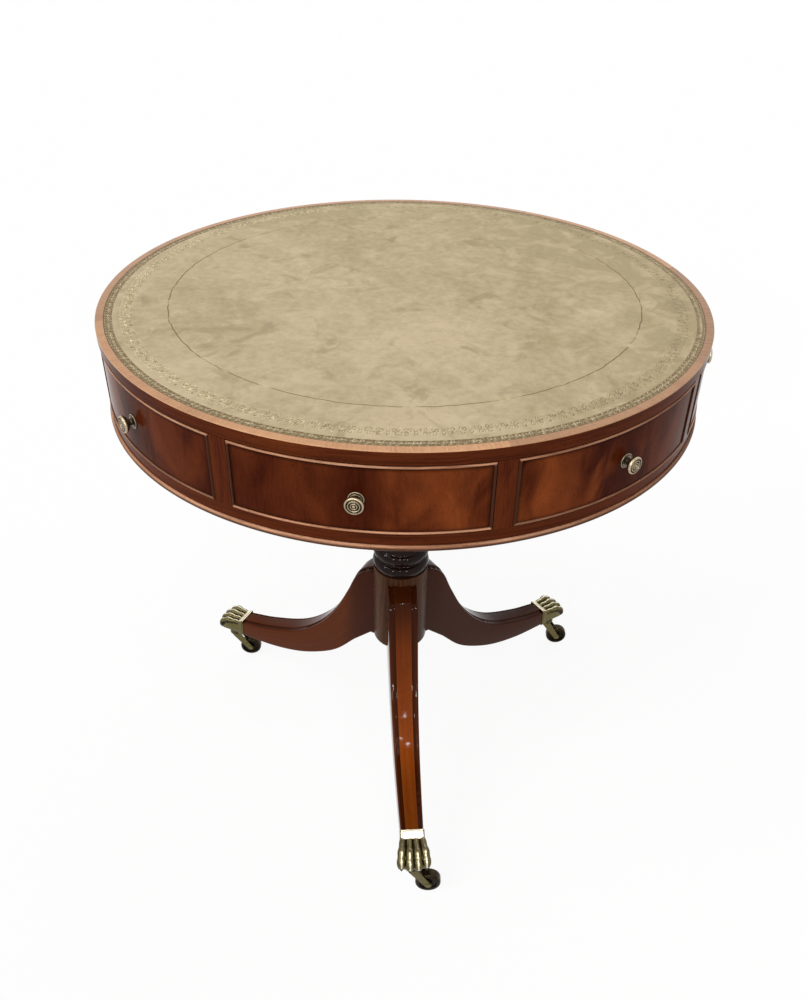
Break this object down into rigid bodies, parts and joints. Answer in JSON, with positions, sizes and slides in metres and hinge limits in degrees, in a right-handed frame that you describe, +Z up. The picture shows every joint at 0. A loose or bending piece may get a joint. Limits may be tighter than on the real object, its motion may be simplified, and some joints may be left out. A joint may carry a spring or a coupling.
{
  "type": "revolving drum table",
  "caption": "Round writing table with a tooled leather top, a revolving drum of bowed drawers, a turned column, sabre legs, brass paw caps and castors.",
  "frame": {"origin": "on the floor, under the axis of the column and drum", "axes": "+Z up along the column; the drawers slide out along -Y, +X, +Y and -X at rest"},
  "size_m": [0.7616, 0.7616, 0.758],
  "materials": {
    "mahogany": "french-polished mahogany",
    "crossband_veneer": "polished crossbanding",
    "tooled_leather": "aged hide with tooled bands",
    "drawer_lining": "waxed hardwood linings",
    "carcase_softwood": "stained pine",
    "antique_brass": "greyed antique brass",
    "paw_brass": "cast and lacquered brass",
    "dark_brass": "dark patinated wheels",
    "iron": "blackened iron"
  },
  "bodies": {
    "pedestal": {"column": "mahogany", "bearing_plate": "mahogany", "bearing_plate_screws": "iron", "pivot_spindle": "iron", "thrust_washer": "antique_brass", "spindle_washer": "iron", "spindle_nut": "iron", "leg_1": "mahogany", "leg_2": "mahogany", "leg_3": "mahogany", "leg_tie_plate": "iron", "tie_plate_screws": "iron", "paw_1": "paw_brass", "paw_2": "paw_brass", "paw_3": "paw_brass"},
    "drum": {"top_board": "mahogany", "leather_top": "tooled_leather", "top_crossband": "crossband_veneer", "upper_rail": "mahogany", "lower_rail": "mahogany", "base_bead": "mahogany", "drum_stiles": "mahogany", "bottom_board": "carcase_softwood", "dummy_fronts": "mahogany", "dummy_cock_beads": "mahogany", "dummy_knobs": "antique_brass", "drawer_runners": "carcase_softwood", "drawer_guides": "carcase_softwood", "drawer_kickers": "carcase_softwood", "drawer_stops": "carcase_softwood", "pivot_block": "carcase_softwood", "pivot_bush": "antique_brass", "pivot_block_screws": "iron"},
    "drawer_1": {"drawer_1_front": "mahogany", "drawer_1_carcase": "drawer_lining", "drawer_1_bottom": "drawer_lining", "drawer_1_cock_beads": "mahogany", "drawer_1_knob": "antique_brass"},
    "drawer_2": {"drawer_2_front": "mahogany", "drawer_2_carcase": "drawer_lining", "drawer_2_bottom": "drawer_lining", "drawer_2_cock_beads": "mahogany", "drawer_2_knob": "antique_brass"},
    "drawer_3": {"drawer_3_front": "mahogany", "drawer_3_carcase": "drawer_lining", "drawer_3_bottom": "drawer_lining", "drawer_3_cock_beads": "mahogany", "drawer_3_knob": "antique_brass"},
    "drawer_4": {"drawer_4_front": "mahogany", "drawer_4_carcase": "drawer_lining", "drawer_4_bottom": "drawer_lining", "drawer_4_cock_beads": "mahogany", "drawer_4_knob": "antique_brass"},
    "castor_1": {"castor_horn_1": "paw_brass"},
    "wheel_1": {"castor_wheel_1": "dark_brass"},
    "castor_2": {"castor_horn_2": "paw_brass"},
    "wheel_2": {"castor_wheel_2": "dark_brass"},
    "castor_3": {"castor_horn_3": "paw_brass"},
    "wheel_3": {"castor_wheel_3": "dark_brass"}
  },
  "joints": [
    {"name": "drum_revolve", "type": "hinge", "parent": "pedestal", "child": "drum", "pos_m": [0, 0, 0.6431], "axis": [0, 0, 1], "continuous": true},
    {"name": "drawer_1_slide", "type": "slide", "parent": "drum", "child": "drawer_1", "axis": [0, -1, 0], "range_m": [0, 0.14]},
    {"name": "drawer_2_slide", "type": "slide", "parent": "drum", "child": "drawer_2", "axis": [1, 0, 0], "range_m": [0, 0.14]},
    {"name": "drawer_3_slide", "type": "slide", "parent": "drum", "child": "drawer_3", "axis": [0, 1, 0], "range_m": [0, 0.14]},
    {"name": "drawer_4_slide", "type": "slide", "parent": "drum", "child": "drawer_4", "axis": [-1, 0, 0], "range_m": [0, 0.14]},
    {"name": "castor_1_swivel", "type": "hinge", "parent": "pedestal", "child": "castor_1", "pos_m": [0.06182, -0.31805, 0.057], "axis": [0, 0, 1], "continuous": true},
    {"name": "wheel_1_spin", "type": "hinge", "parent": "castor_1", "child": "wheel_1", "pos_m": [0.08367, -0.31544, 0.018], "axis": [-0.1184, 0.993, 0], "continuous": true},
    {"name": "castor_2_swivel", "type": "hinge", "parent": "pedestal", "child": "castor_2", "pos_m": [0.24453, 0.21256, 0.057], "axis": [0, 0, 1], "continuous": true},
    {"name": "wheel_2_spin", "type": "hinge", "parent": "castor_2", "child": "wheel_2", "pos_m": [0.26637, 0.21517, 0.018], "axis": [-0.1184, 0.993, 0], "continuous": true},
    {"name": "castor_3_swivel", "type": "hinge", "parent": "pedestal", "child": "castor_3", "pos_m": [-0.30635, 0.10548, 0.057], "axis": [0, 0, 1], "continuous": true},
    {"name": "wheel_3_spin", "type": "hinge", "parent": "castor_3", "child": "wheel_3", "pos_m": [-0.2845, 0.10809, 0.018], "axis": [-0.1184, 0.993, 0], "continuous": true}
  ]
}
